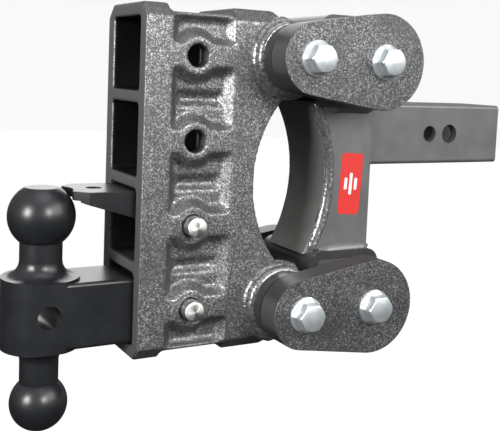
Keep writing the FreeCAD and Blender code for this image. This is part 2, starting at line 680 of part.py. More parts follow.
def make_ball_mount():
    """Two balls, necks and a barrel turned in one piece with a square bar."""
    body = new_body("ball_mount", ("-head_front - mount_place", "0", HEAD_MIDDLE_Z))
    big_top = "-big_ball_down + sqrt(big_ball ^ 2 - big_ball_flat ^ 2)"
    big_foot = "-big_ball_down - sqrt(big_ball ^ 2 - big_neck ^ 2)"
    small_top = "-small_ball_down + sqrt(small_ball ^ 2 - small_neck ^ 2)"
    small_foot = "-small_ball_down - sqrt(small_ball ^ 2 - small_ball_flat ^ 2)"
    profile = new_sketch(body, "profile", "XZ_Plane")
    add_outline(profile, (
        ("0", big_top),
        ("0", small_foot),
        ("small_ball_flat", small_foot, "small_ball", 1),
        ("small_ball", "-small_ball_down", "small_ball", 1),
        ("small_neck", small_top),
        ("small_neck", "-barrel_foot - lower_flare", "lower_flare", -1),
        ("small_neck + lower_flare", "-barrel_foot"),
        ("barrel_round", "-barrel_foot"),
        ("barrel_round", "-barrel_top"),
        ("big_neck + upper_flare", "-barrel_top", "upper_flare", -1),
        ("big_neck", "-barrel_top + upper_flare"),
        ("big_neck", big_foot, "big_ball", 1),
        ("big_ball", "-big_ball_down", "big_ball", 1),
        ("big_ball_flat", big_top),
    ))
    revolve(profile, "V_Axis")
    flats = new_sketch(body, "flats", "YZ_Plane")
    for side in (1, -1):
        middle = f"{side} * (barrel_flats + barrel_round) / 2"
        tall = "barrel_foot - barrel_top"
        add_rectangle(flats, middle, "-(barrel_foot + barrel_top) / 2", "barrel_round", tall)
    pocket(flats, "3 * barrel_round")
    bar = new_sketch(body, "bar", "YZ_Plane")
    add_rectangle(bar, "0", "-mount_down", "mount_wide", "mount_tall", "mount_corner")
    pad(bar, "mount_place + mount_deep", symmetric=False)
    holes = new_sketch(body, "holes", "XZ_Plane")
    add_circle(holes, "0", f"-({LOWEST_SOCKET})", "mount_cross_hole")
    add_circle(holes, "mount_place + cross_pin_place", f"-({LOWEST_SOCKET})", "cross_hole")
    pocket(holes, "4 * barrel_round")


def make_pintle_lock():
    """Channel-shaped plate whose flanges deepen towards the socket."""
    body = new_body("pintle_lock", ("-head_front", "0", HEAD_MIDDLE_Z))
    side_view = new_sketch(body, "side_view", "XZ_Plane")
    add_outline(side_view, (
        ("-lock_tip", "-lock_top - lock_thick"),
        ("0", "-lock_mouth_down"),
        ("cross_pin_place - 2 * cross_hole", "-lock_foot"),
        ("lock_back", "-lock_foot"),
        ("lock_back", "-lock_top"),
        ("-lock_tip", "-lock_top"),
    ))
    pad(side_view, "lock_wide")
    channel = new_sketch(body, "channel", "YZ_Plane", "(lock_back - lock_tip) / 2")
    inner = "lock_wide - 2 * lock_wall"
    tall = "(lock_foot - lock_top - lock_thick + 1)"
    middle = f"-lock_top - lock_thick - {tall} / 2"
    add_rectangle(channel, "0", middle, inner, tall)
    pocket(channel, "2 * (lock_back + lock_tip)")
    plan = new_sketch(body, "plan", "XY_Plane", "-lock_top - lock_thick / 2")
    add_circle(plan, "-lock_hole_place", "0", "lock_hole")
    add_circle(plan, "-mount_place", "0", "lock_relief")
    pocket(plan, "2 * lock_thick")
    corners = new_sketch(body, "corners", "XY_Plane", "-lock_top - lock_thick")
    for side in (1, -1):
        add_outline(corners, [
            (across, f"{side} * ({along})") for across, along in (
                ("-lock_tip - 1", "lock_wide / 2 - lock_clip - 1"),
                ("-lock_tip + lock_clip + 1", "lock_wide / 2 + 1"),
                ("-lock_tip - 1", "lock_wide / 2 + 1"),
            )
        ])
    pocket(corners, "4 * lock_thick")
    pin_hole = new_sketch(body, "pin_hole", "XZ_Plane")
    add_circle(pin_hole, "cross_pin_place", f"-({MIDDLE_SOCKET})", "cross_hole")
    pocket(pin_hole, "2 * lock_wide")


def make_hitch_pin(level, below):
    """Stainless cross pin with a turned head on its left end."""
    height = f"{HEAD_MIDDLE_Z} - {below}"
    body = new_body(f"{level}_hitch_pin", ("-head_front + cross_pin_place", "0", height))
    head_end = "pin_shoulder + pin_head_thick"
    profile = new_sketch(body, "profile", "XY_Plane")
    add_outline(profile, (
        ("0", "-pin_near"),
        ("pin_round - pin_chamfer", "-pin_near"),
        ("pin_round", "-pin_near + pin_chamfer"),
        ("pin_round", "pin_shoulder"),
        ("pin_head_round", "pin_shoulder"),
        ("pin_head_round", f"{head_end} - pin_chamfer"),
        ("pin_head_round - pin_chamfer", head_end),
        ("0", head_end),
    ))
    revolve(profile, "V_Axis")
    clip = new_sketch(body, "clip", "XY_Plane")
    add_circle(clip, "0", "-pin_clip_place", "pin_clip_hole")
    pocket(clip, "4 * pin_round")


# ---- Build, check and write -------------------------------------------------------------

make_shank()
make_side_plate("riser_side_plate_right", -1)
make_side_plate("riser_side_plate_left", 1)
make_front_plate()
make_rear_plate()
make_head()
make_ball_mount()
make_pintle_lock()
make_hitch_pin("upper", MIDDLE_SOCKET)
make_hitch_pin("lower", LOWEST_SOCKET)
for level, height, gap in (
    ("upper", UPPER_PIVOT_Z, "running_gap"),
    ("lower", LOWER_PIVOT_Z, "open_gap"),
):
    make_housing(level, height)
    make_retainers(level, height)
    make_cords(level, height)
    make_torsion_bar(level, height)
    make_pivot_shaft(level, height)
    make_link(f"{level}_link_right", -1, height)
    make_link(f"{level}_link_left", 1, height)
    make_link_bolts(level, height)
    make_pivot_tube(level, height)
    make_bushings(level, height, gap)
doc.recompute()

for item in doc.Objects:
    if {"Invalid", "Error"} & set(item.State):
        raise RuntimeError(f"{item.Label} did not build: {item.State}")
    if item.TypeId in ("PartDesign::Pocket", "PartDesign::SubtractiveLoft"):
        if item.Shape.Volume >= item.BaseFeature.Shape.Volume:
            raise RuntimeError(f"{item.Label} removed nothing")
for label, item in sub_parts.items():
    if item.Shape.isNull() or not item.Shape.isValid():
        raise RuntimeError(f"{label} has no valid shape")

os.makedirs("parts", exist_ok=True)
for label, item in sub_parts.items():
    item.Shape.exportStep(f"parts/{label}.step")
    print(f"{label}: {len(item.Shape.Solids)} solids, {item.Shape.Volume / 1000:.1f} cm3")
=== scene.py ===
import json
import math
import random

import bmesh
import bpy
from mathutils import Matrix, Vector, noise

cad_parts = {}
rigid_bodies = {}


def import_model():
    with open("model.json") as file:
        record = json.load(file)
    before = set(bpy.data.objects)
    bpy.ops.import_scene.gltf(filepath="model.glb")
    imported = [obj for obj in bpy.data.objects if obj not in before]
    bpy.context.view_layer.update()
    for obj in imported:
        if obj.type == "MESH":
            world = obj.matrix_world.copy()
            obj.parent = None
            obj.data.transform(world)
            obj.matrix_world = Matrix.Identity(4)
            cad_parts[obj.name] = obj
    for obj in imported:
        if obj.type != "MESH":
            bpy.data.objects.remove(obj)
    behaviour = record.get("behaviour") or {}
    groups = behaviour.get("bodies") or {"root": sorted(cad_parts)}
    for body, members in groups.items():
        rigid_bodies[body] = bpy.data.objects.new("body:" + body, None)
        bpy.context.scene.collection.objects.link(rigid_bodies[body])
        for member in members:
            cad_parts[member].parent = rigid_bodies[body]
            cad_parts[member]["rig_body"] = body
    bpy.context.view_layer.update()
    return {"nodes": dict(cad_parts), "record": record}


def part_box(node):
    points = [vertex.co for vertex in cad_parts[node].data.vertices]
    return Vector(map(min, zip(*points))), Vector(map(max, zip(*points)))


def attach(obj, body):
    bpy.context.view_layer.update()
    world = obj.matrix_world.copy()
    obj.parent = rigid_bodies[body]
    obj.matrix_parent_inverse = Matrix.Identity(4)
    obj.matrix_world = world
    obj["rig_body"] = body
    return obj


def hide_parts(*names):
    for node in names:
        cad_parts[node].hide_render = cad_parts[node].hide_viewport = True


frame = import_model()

MM = 0.001
RNG = random.Random(7)
SIDES = (("right", -1), ("left", 1))
LEVEL_SIGN = {"upper": 1, "lower": -1}
NO_SIZE = 1e-9


# ---- Places, from the frame ---------------------------------------------------------------

def box_mid(node):
    """The centre of a node's box."""
    low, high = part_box(node)
    return (low + high) / 2


HEAD_LOW, HEAD_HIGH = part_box("receiver_head")
HEAD_FRONT = HEAD_LOW.x
HEAD_HALF = HEAD_HIGH.y
HEAD_MID_Z = (HEAD_LOW.z + HEAD_HIGH.z) / 2
FRONT_PIVOT = {level: box_mid(f"{level}_pivot_tube") for level in LEVEL_SIGN}
REAR_PIVOT = {level: box_mid(f"{level}_torsion_housing") for level in LEVEL_SIGN}
TUBE_LOW, TUBE_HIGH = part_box("upper_pivot_tube")
TUBE_RADIUS = (TUBE_HIGH.z - TUBE_LOW.z) / 2
LINK_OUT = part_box("upper_link_left")[1].y
PIN_MIDDLE = {level: box_mid(f"{level}_hitch_pin") for level in LEVEL_SIGN}
RISER_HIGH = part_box("riser_side_plate_left")[1]
RISER_OUT = RISER_HIGH.y
RISER_ARC_X = HEAD_FRONT + 57 * MM
RISER_ARC = 150 * MM
FRONT_PLATE_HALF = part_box("riser_front_plate")[1].y
BALL_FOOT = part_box("ball_mount")[0].z
SOCKET_HALF = 33 * MM
SOCKET_BACK = 91 * MM
OPEN_SOCKETS_TALL = 147.5 * MM
# The open sockets' box, which the head's coat fills with painted shade.
OPEN_SOCKETS = (
    (HEAD_FRONT + 1 * MM, -SOCKET_HALF, HEAD_MID_Z),
    (HEAD_FRONT + SOCKET_BACK, SOCKET_HALF, HEAD_MID_Z + OPEN_SOCKETS_TALL),
)


# ---- Materials ------------------------------------------------------------------------------

def as_colour(value):
    """A grey level or a colour, as a colour."""
    return tuple(value) if isinstance(value, (tuple, list)) else (value, value, value)


def shade(colour, factor):
    """The colour made darker or lighter by a factor."""
    return tuple(min(1.0, channel * factor) for channel in colour)


class Shader:
    """A material whose node graph is built with short calls."""

    def __init__(self, name, **values):
        self.material = bpy.data.materials.new(name)
        self.material.use_nodes = True
        self.tree = self.material.node_tree
        self.surface = self.tree.nodes["Principled BSDF"]
        for socket, value in values.items():
            self.surface.inputs[socket.replace("_", " ")].default_value = value
        coordinates = self.tree.nodes.new("ShaderNodeTexCoord").outputs
        self.place = coordinates["Object"]
        self.normal = coordinates["Normal"]

    def node(self, kind, properties=None, **inputs):
        """A node with its inputs fed by name, or by number when written as i and the number."""
        made = self.tree.nodes.new("ShaderNode" + kind)
        for name, value in (properties or {}).items():
            setattr(made, name, value)
        for name, value in inputs.items():
            socket = made.inputs[int(name[1:]) if name[0] == "i" else name.replace("_", " ")]
            self.feed(socket, value)
        return made

    def feed(self, socket, value):
        """Link a socket to another, or set its value."""
        if isinstance(value, bpy.types.NodeSocket):
            self.tree.links.new(value, socket)
        else:
            socket.default_value = value

    def noise(self, scale, detail=2.0, roughness=0.5, distortion=0.0, stretch=None):
        vector = self.place
        if stretch:
            vector = self.node("Mapping", Vector=vector, Scale=stretch).outputs["Vector"]
        made = self.node("TexNoise", Vector=vector, Scale=scale, Detail=detail,
                         Roughness=roughness, Distortion=distortion)
        return made.outputs["Fac"]

    def ramp(self, factor, *stops):
        """Colours between stops, each a position and a colour or grey level."""
        made = self.node("ValToRGB", Fac=factor)
        ramp = made.color_ramp
        for element, (position, colour) in zip(ramp.elements, stops):
            element.position = position
            element.color = (*as_colour(colour), 1.0)
        return made.outputs["Color"]

    def mix(self, factor, first, second, kind="MIX"):
        made = self.node("Mix", {"data_type": "RGBA", "blend_type": kind},
                         i0=factor, i6=first, i7=second)
        return made.outputs[2]

    def math(self, operation, first, second=0.0, third=0.0):
        made = self.node("Math", {"operation": operation}, i0=first, i1=second, i2=third)
        return made.outputs["Value"]

    def product(self, *factors):
        result = factors[0]
        for factor in factors[1:]:
            result = self.math("MULTIPLY", result, factor)
        return result

    def fade(self, value, low, high):
        """0 below low, 1 above high and smooth between."""
        made = self.node("MapRange", {"interpolation_type": "SMOOTHSTEP"}, Value=value,
                         i1=low, i2=high)
        return made.outputs["Result"]

    def part(self, vector, axis):
        """One coordinate of a vector."""
        return self.node("SeparateXYZ", Vector=vector).outputs[axis]

    def inside(self, low, high):
        """1 within the box from low to high, 0 outside it."""
        split = self.node("SeparateXYZ", Vector=self.place).outputs
        return self.product(*(
            self.math("COMPARE", split[axis], (low[axis] + high[axis]) / 2,
                      (high[axis] - low[axis]) / 2)
            for axis in range(3)))

    def sideways(self, low, high):
        """1 on faces that look along Y, fading to 0 as they turn away."""
        return self.fade(self.math("ABSOLUTE", self.part(self.normal, "Y")), low, high)

    def colour(self, value):
        self.feed(self.surface.inputs["Base Color"], value)

    def rough(self, factor, low, high):
        made = self.node("MapRange", Value=factor, i3=low, i4=high)
        self.feed(self.surface.inputs["Roughness"], made.outputs["Result"])

    def bump(self, height, strength, distance):
        made = self.node("Bump", Height=height, Strength=strength, Distance=distance)
        self.feed(self.surface.inputs["Normal"], made.outputs["Normal"])


def silver_vein(name, ground, flake_highlight_colour, scale, relief, socket_shade_box=None):
    """Silver-vein powder coat with flakes on outer faces, plus painted light: the flakes are
    painted in only on faces that look sideways as painted sparkle, forward slopes get a painted
    highlight, front faces are painted paler and the socket box is painted shade.
    """
    shader = Shader(name, Metallic=0.55)
    worms = shader.noise(scale, detail=1.2, distortion=1.4)
    patches = shader.fade(shader.noise(22, detail=3.0, roughness=0.6), 0.28, 0.62)
    mottle = shader.noise(60, detail=3.0, roughness=0.6)
    # Painted sparkle: the flakes show only on faces that look along Y, standing in for glints of
    # light.
    sparkle_facing = shader.sideways(0.55, 0.9)
    across = shader.math("ABSOLUTE", shader.part(shader.place, "Y"))
    outer = shader.fade(across, SOCKET_HALF + 0.5 * MM, SOCKET_HALF + 1.5 * MM)
    flakes_and_sparkle = shader.product(shader.fade(worms, 0.50, 0.66), sparkle_facing, outer,
                            shader.math("MULTIPLY_ADD", patches, 0.6, 0.4))
    silver_flake_and_highlight = (*flake_highlight_colour, 1.0)
    coat = shader.ramp(mottle, (0.3, shade(ground, 0.82)), (0.7, ground))
    coat = shader.mix(flakes_and_sparkle, coat, silver_flake_and_highlight)
    forward = shader.math("MULTIPLY", shader.part(shader.normal, "X"), -1.0)
    # Painted highlight: bright flakes on slopes that face forward and sideways.
    painted_slope_highlight = shader.product(shader.fade(forward, 0.45, 0.68), shader.sideways(0.40, 0.60),
                           shader.fade(worms, 0.42, 0.68))
    coat = shader.mix(painted_slope_highlight, coat, silver_flake_and_highlight)
    # Painted light: front faces get a paler coat.
    coat = shader.mix(shader.fade(forward, 0.85, 0.97), coat, (*shade(ground, 1.9), 1.0))
    # Painted shade: near-black colour inside the open sockets' box.
    if socket_shade_box:
        socket_shade = shader.ramp(mottle, (0.3, 0.006), (0.7, 0.012))
        coat = shader.mix(shader.inside(*socket_shade_box), coat, socket_shade)
    shader.colour(coat)
    shader.rough(flakes_and_sparkle, 0.44, 0.30)
    strength = shader.math("MULTIPLY_ADD", sparkle_facing, 0.8, 0.2)
    shader.bump(shader.product(worms, strength), relief, 0.4 * MM)
    return shader.material


def smooth_coat(name, colour, roughness):
    """Plain powder coat with faint mottling and orange peel."""
    shader = Shader(name, Metallic=0.45)
    mottle = shader.noise(35, detail=4.0, roughness=0.6)
    shader.colour(shader.ramp(mottle, (0.3, shade(colour, 0.84)), (0.72, shade(colour, 1.10))))
    shader.rough(mottle, roughness - 0.05, roughness + 0.08)
    shader.bump(shader.noise(900), 0.10, 0.15 * MM)
    return shader.material


def black_coat(name):
    """Satin black with faint scuffs."""
    shader = Shader(name, Metallic=0.0, Specular_IOR_Level=0.5)
    mottle = shader.noise(40, detail=5.0, roughness=0.62)
    scuffs = shader.noise(220, detail=3.0, roughness=0.6, stretch=(1.0, 1.0, 0.25))
    ground = shader.ramp(mottle, (0.3, (0.0070, 0.0076, 0.0088)), (0.75, (0.0125, 0.0135, 0.0155)))
    worn = shader.ramp(scuffs, (0.70, 0.0), (0.80, 0.05))
    shader.colour(shader.mix(1.0, ground, worn, "ADD"))
    shader.rough(mottle, 0.27, 0.38)
    shader.bump(shader.noise(700, detail=3.0, roughness=0.55), 0.10, 0.15 * MM)
    return shader.material


def turned_steel(name, colour, roughness, spread=0.0):
    """Turned metal: fine rings about the piece's own Y axis and a brushed spread of light."""
    shader = Shader(name, Metallic=1.0, Anisotropic=spread)
    split = shader.node("SeparateXYZ", Vector=shader.place).outputs
    radius = shader.math("SQRT", shader.math(
        "ADD", shader.math("POWER", split["X"], 2.0), shader.math("POWER", split["Z"], 2.0)))
    along = shader.math("ADD", radius, split["Y"])
    made = shader.node("TexNoise", {"noise_dimensions": "1D"}, W=along, Scale=2600.0, Detail=3.0)
    rings = made.outputs["Fac"]
    cloud = shader.noise(120, detail=4.0, roughness=0.6)
    shader.colour(shader.ramp(rings, (0.3, shade(colour, 0.74)), (0.7, colour)))
    shader.rough(cloud, roughness, roughness + 0.12)
    shader.bump(rings, 0.08, 0.05 * MM)
    if spread:
        tangent = shader.node("Tangent", {"direction_type": "RADIAL", "axis": "Y"})
        shader.feed(shader.surface.inputs["Tangent"], tangent.outputs["Tangent"])
    return shader.material


def zinc_plate(name):
    """Bright zinc with a faint bluish haze."""
    shader = Shader(name, Metallic=0.8)
    haze = shader.noise(160, detail=4.0, roughness=0.6)
    shader.colour(shader.ramp(haze, (0.25, (0.62, 0.67, 0.69)), (0.75, (0.80, 0.84, 0.86))))
    shader.rough(haze, 0.26, 0.38)
    shader.bump(shader.noise(1200), 0.08, 0.1 * MM)
    return shader.material


def painted_weld(name):
    """Weld bead under glossy grey paint."""
    shader = Shader(name, Metallic=0.6)
    grain = shader.noise(320, detail=3.0, roughness=0.55, distortion=0.4)
    shader.colour(shader.ramp(grain, (0.32, 0.08), (0.7, (0.27, 0.27, 0.275))))
    shader.rough(grain, 0.16, 0.30)
    shader.bump(grain, 0.45, 0.6 * MM)
    return shader.material


def rubber(name):
    """Matt black rubber with a coarse grain."""
    shader = Shader(name, Roughness=0.75)
    grain = shader.noise(300, detail=4.0, roughness=0.65)
    shader.colour(shader.ramp(grain, (0.3, 0.012), (0.75, 0.035)))
    shader.bump(grain, 0.3, 0.3 * MM)
    return shader.material


def nylon(name):
    """Pale bushing plastic."""
    shader = Shader(name, Roughness=0.45)
    grain = shader.noise(260, detail=3.0)
    shader.colour(shader.ramp(grain, (0.3, (0.55, 0.52, 0.43)), (0.7, (0.70, 0.67, 0.58))))
    shader.bump(grain, 0.1, 0.2 * MM)
    return shader.material


def printed_vinyl(name, colour):
    """Glossy printed film with a slightly uneven ink."""
    shader = Shader(name, Roughness=0.32)
    ink = shader.noise(500, detail=3.0, roughness=0.6)
    shader.colour(shader.ramp(ink, (0.3, shade(colour, 0.8)), (0.7, colour)))
    shader.bump(ink, 0.08, 0.1 * MM)
    return shader.material


MATERIALS = {
    # silver_vein and link_coat carry painted sparkle, a painted highlight and a painted paler
    # front; silver_vein also carries painted shade in the open sockets.
    "silver_vein": silver_vein("silver_vein", (0.080, 0.079, 0.080), (0.44, 0.44, 0.455), 680,
                               0.42, OPEN_SOCKETS),
    "link_coat": silver_vein("link_coat", (0.056, 0.055, 0.056), (0.34, 0.34, 0.35), 720, 0.4),
    "grey_coat": smooth_coat("grey_coat", (0.150, 0.147, 0.145), 0.40),
    "dark_coat": smooth_coat("dark_coat", (0.19, 0.186, 0.178), 0.45),
    # A darker coat for the tubes and housings: painted shade.
    "shade_painted_coat": smooth_coat("shade_painted_coat", (0.060, 0.058, 0.056), 0.30),
    "black_coat": black_coat("black_coat"),
    "stainless": turned_steel("stainless", (0.80, 0.78, 0.75), 0.33, 0.75),
    "machined_steel": turned_steel("machined_steel", (0.40, 0.40, 0.41), 0.32),
    "zinc": zinc_plate("zinc"),
    "weld": painted_weld("weld"),
    "rubber": rubber("rubber"),
    "bushing": nylon("bushing"),
    "label_red": printed_vinyl("label_red", (0.60, 0.035, 0.03)),
    "label_white": printed_vinyl("label_white", (0.78, 0.78, 0.76)),
}
SLOT_OF = {row["node"]: row["material_slot"] for row in frame["record"]["subparts"]}


# ---- Mesh tools -----------------------------------------------------------------------------

def add_piece(name, mesh, material, slot, body, *nodes, at=(0, 0, 0)):
    """A piece that rides on a body and stands for the CAD nodes named."""
    piece = bpy.data.objects.new(name, mesh)
    piece.location = at
    bpy.context.scene.collection.objects.link(piece)
    mesh.materials.clear()
    mesh.materials.append(MATERIALS[material])
    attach(piece, body)
    if nodes:
        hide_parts(*nodes)
    return piece


def copy_of_node(node, mesh):
    """A piece with the mesh given, which stands for one CAD node and has its material."""
    mesh.name = f"{node}_look"
    slot = SLOT_OF[node]
    return add_piece(f"{node}_look", mesh, slot, slot, frame["nodes"][node]["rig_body"], node)


def apply_modifiers(piece):
    graph = bpy.context.evaluated_depsgraph_get()
    mesh = bpy.data.meshes.new_from_object(piece.evaluated_get(graph))
    piece.modifiers.clear()
    piece.data = mesh


def eased_copy(node, width):
    """The CAD node with its edges broken, as a piece that stands for it."""
    mesh = frame["nodes"][node].data.copy()
    work = bmesh.new()
    work.from_mesh(mesh)
    bmesh.ops.remove_doubles(work, verts=work.verts, dist=0.002 * MM)
    bmesh.ops.dissolve_limit(work, angle_limit=math.radians(1.0), verts=work.verts,
                             edges=work.edges)
    work.to_mesh(mesh)
    work.free()
    piece = copy_of_node(node, mesh)
    bevel = piece.modifiers.new("edges", "BEVEL")
    bevel.width = width
    bevel.segments = 2
    bevel.limit_method = "ANGLE"
    bevel.angle_limit = math.radians(28)
    bevel.harden_normals = True
    bevel.use_clamp_overlap = True
    weigh = piece.modifiers.new("normals", "WEIGHTED_NORMAL")
    weigh.keep_sharp = True
    weigh.weight = 80
    smooth_faces(mesh)
    apply_modifiers(piece)


def forged_copy(node, cell, passes):
    """The CAD node with the soft corners of a forging, as a piece that stands for it."""
    piece = copy_of_node(node, frame["nodes"][node].data.copy())
    remesh = piece.modifiers.new("cells", "REMESH")
    remesh.mode = "VOXEL"
    remesh.voxel_size = cell
    remesh.use_smooth_shade = True
    relax = piece.modifiers.new("relax", "SMOOTH")
    relax.factor = 0.5
    relax.iterations = passes
    apply_modifiers(piece)


def smooth_faces(mesh):
    for polygon in mesh.polygons:
        polygon.use_smooth = True


def smooth_by_angle(mesh, degrees):
    """Smooth shading with edges sharper than the angle kept sharp."""
    work = bmesh.new()
    work.from_mesh(mesh)
    for face in work.faces:
        face.smooth = True
    for edge in work.edges:
        if len(edge.link_faces) == 2:
            edge.smooth = edge.calc_face_angle(0.0) < math.radians(degrees)
    work.to_mesh(mesh)
    work.free()


def skin(name, rings):
    """A closed mesh over rings of points; a ring of one point is a tip."""
    work = bmesh.new()
    rings = [[work.verts.new(point) for point in ring] for ring in rings]
    steps = max(len(ring) for ring in rings)
    for near, far in zip(rings, rings[1:]):
        for i in range(steps):
            j = (i + 1) % steps
            corners = (near[i % len(near)], near[j % len(near)],
                       far[j % len(far)], far[i % len(far)])
            unique = list(dict.fromkeys(corners))
            if len(unique) > 2:
                work.faces.new(unique)
    for ring in (rings[0], rings[-1]):
        if len(ring) > 2:
            work.faces.new(ring)
    bmesh.ops.recalc_face_normals(work, faces=work.faces)
    mesh = bpy.data.meshes.new(name)
    work.to_mesh(mesh)
    work.free()
    return mesh


def turned_ring(along, radius_at, steps):
    """A ring about Y whose radius is a function of the angle."""
    turns = [math.tau * i / steps for i in range(steps)]
    return [(radius_at(a) * math.cos(a), along, radius_at(a) * math.sin(a)) for a in turns]


def lathe(profile, steps):
    """A mesh of revolution about Y through (along, radius) points."""
    rings = []
    for along, radius in profile:
        if radius > 0.0:
            rings.append(turned_ring(along, lambda a, radius=radius: radius, steps))
        else:
            rings.append([(0, along, 0)])
    return skin("turned", rings)


def join_meshes(name, meshes):
    work = bmesh.new()
    for mesh in meshes:
        work.from_mesh(mesh)
        bpy.data.meshes.remove(mesh)
    joined = bpy.data.meshes.new(name)
    work.to_mesh(joined)
    work.free()
    smooth_by_angle(joined, 32)
    return joined


BEAD_STEP = 0.5 * MM
BEAD_LEAST_STEPS = 24
BEAD_AROUND = 18
BEAD_HEIGHT = 0.62
BEAD_ARCH = 0.35
BEAD_END = 1.2
BEAD_LEAST_END = 0.02
BEAD_SWELL = 0.10
BEAD_ROUGHNESS = 0.06


def weld_bead(name, points, outs, radius, body, pitch, ripple, material="weld"):
    """A rippled bead along points; outs gives the direction the bead faces at each point."""
    lengths = [0.0]
    for a, b in zip(points, points[1:]):
        lengths.append(lengths[-1] + (b - a).length)
    whole = lengths[-1]
    count = max(BEAD_LEAST_STEPS, int(whole / BEAD_STEP))
    rings = []
    for i in range(count + 1):
        s = whole * i / count
        k = max(j for j in range(len(lengths) - 1) if lengths[j] <= s + NO_SIZE)
        t = (s - lengths[k]) / max(NO_SIZE, lengths[k + 1] - lengths[k])
        centre = points[k].lerp(points[k + 1], t)
        forward = (points[k + 1] - points[k]).normalized()
        up = outs[k].lerp(outs[k + 1], t).normalized()
        wander = noise.noise(centre * 45)
        phase = ((s + wander * 1.5 * MM) / pitch) % 1.0
        dip = 1.0 - math.sqrt(1.0 - (1.0 - phase) ** 2)
        swell = 1.0 - ripple * dip + BEAD_SWELL * wander
        end = min(1.0, s / (BEAD_END * radius), (whole - s) / (BEAD_END * radius))
        size = radius * swell * math.sqrt(max(BEAD_LEAST_END, end))
        rings.append(bead_ring(centre, forward, up, size, BEAD_ARCH * pitch))
    mesh = skin(name, rings)
    smooth_faces(mesh)
    add_piece(name, mesh, material, "grey_coat", body)


def bead_ring(centre, forward, up, size, arch):
    """One ring of a bead, its top pushed forward by the arch and slightly uneven."""
    side = forward.cross(up).normalized()
    ring = []
    for j in range(BEAD_AROUND):
        angle = math.tau * j / BEAD_AROUND
        middle = centre + forward * (math.cos(angle) * arch)
        uneven = noise.noise(middle * 160 + side * math.sin(angle) * 2)
        reach = side * math.sin(angle) + up * math.cos(angle) * BEAD_HEIGHT
        ring.append(middle + reach * size * (1.0 + BEAD_ROUGHNESS * uneven))
    return ring


# ---- Pieces ---------------------------------------------------------------------------------

def dress_cad_nodes():
    """Every CAD node gets its slot's material; tubes and housings get a darker coat, which is
    painted shade.
    """
    for name, node in frame["nodes"].items():
        shaded = name.endswith(("_pivot_tube", "_torsion_housing"))
        node.data.materials.clear()
        node.data.materials.append(MATERIALS["shade_painted_coat" if shaded else SLOT_OF[name]])


HEAD_CELL = 1.7 * MM
EDGE_WIDTHS = {
    "pintle_lock": 0.7 * MM,
    "receiver_shank": 0.6 * MM,
    "riser_side_plate_right": 0.8 * MM,
    "riser_side_plate_left": 0.8 * MM,
    "riser_front_plate": 0.8 * MM,
    "ball_mount": 1.0 * MM,
    "upper_link_right": 1.4 * MM,
    "upper_link_left": 1.4 * MM,
    "lower_link_right": 1.4 * MM,
    "lower_link_left": 1.4 * MM,
}

FLANGE_RADIUS = 16.65 * MM
FLANGE_THICK = 3.2 * MM
HEX_FLATS = 23.8 * MM
HEX_CORNER = 1.155
HEX_CHAMFER = 1.6 * MM
HEX_TOP_EDGE = 0.35 * MM
HEX_TOP_GAP = 0.05 * MM
BOLT_STEPS = 72
BOLT_TURN = 0.06


def make_bolts(level):
    """Flange bolts with dished flanges and chamfered hexagons."""
    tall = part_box(f"{level}_link_bolts")[1].y - LINK_OUT
    bolts = []
    for _, side in SIDES:
        for pivot in (FRONT_PIVOT[level], REAR_PIVOT[level]):
            bolt = bolt_mesh(tall)
            turn = Matrix.Rotation(RNG.uniform(-BOLT_TURN, BOLT_TURN), 4, "Y")
            place = Matrix.Translation((pivot.x, side * LINK_OUT, pivot.z))
            flip = Matrix.Scale(side, 4, (0, 1, 0))
            bolt.transform(place @ flip @ turn)
            if side < 0:
                bolt.flip_normals()
            bolts.append(bolt)
    name = f"{level}_link_bolts_look"
    add_piece(name, join_meshes(name, bolts), "zinc", "zinc", f"{level}_arm",
              f"{level}_link_bolts")


def bolt_mesh(tall):
    """One bolt head along +Y from its seat, the hexagon cut by a shallow cone on top."""
    apothem = HEX_FLATS / 2
    corner = apothem * HEX_CORNER
    crown = apothem * 0.985

    def hexagon(angle, limit):
        wedge = (angle % (math.pi / 3)) - math.pi / 6
        return min(limit, apothem / math.cos(wedge))

    levels = [
        (0.0, lambda a: FLANGE_RADIUS),
        (FLANGE_THICK * 0.45, lambda a: FLANGE_RADIUS),
        (FLANGE_THICK * 0.62, lambda a: FLANGE_RADIUS * 0.985),
        (FLANGE_THICK * 1.25, lambda a: hexagon(a, HEX_FLATS) * 1.06),
        (FLANGE_THICK * 1.5, lambda a: hexagon(a, HEX_FLATS)),
    ]
    for share in (0.0, 0.35, 0.7, 1.0):
        limit = corner - share * (corner - crown)
        height = tall - (1.0 - share) * HEX_CHAMFER - HEX_TOP_EDGE
        levels.append((height, lambda a, limit=limit: hexagon(a, limit)))
    levels.append((tall - HEX_TOP_GAP, lambda a: crown * 0.95))
    return skin("bolt", [turned_ring(height, radius_at, BOLT_STEPS)
                         for height, radius_at in levels])


PIN_RADIUS = 9.525 * MM
PIN_HEAD_RADIUS = 14.0 * MM
PIN_SHOULDER = 48.6 * MM
PIN_EDGE = 1.4 * MM
PIN_BREAK = 0.4 * MM
PIN_CENTRE = 3 * MM
PIN_CENTRE_FLOOR = 2.4 * MM


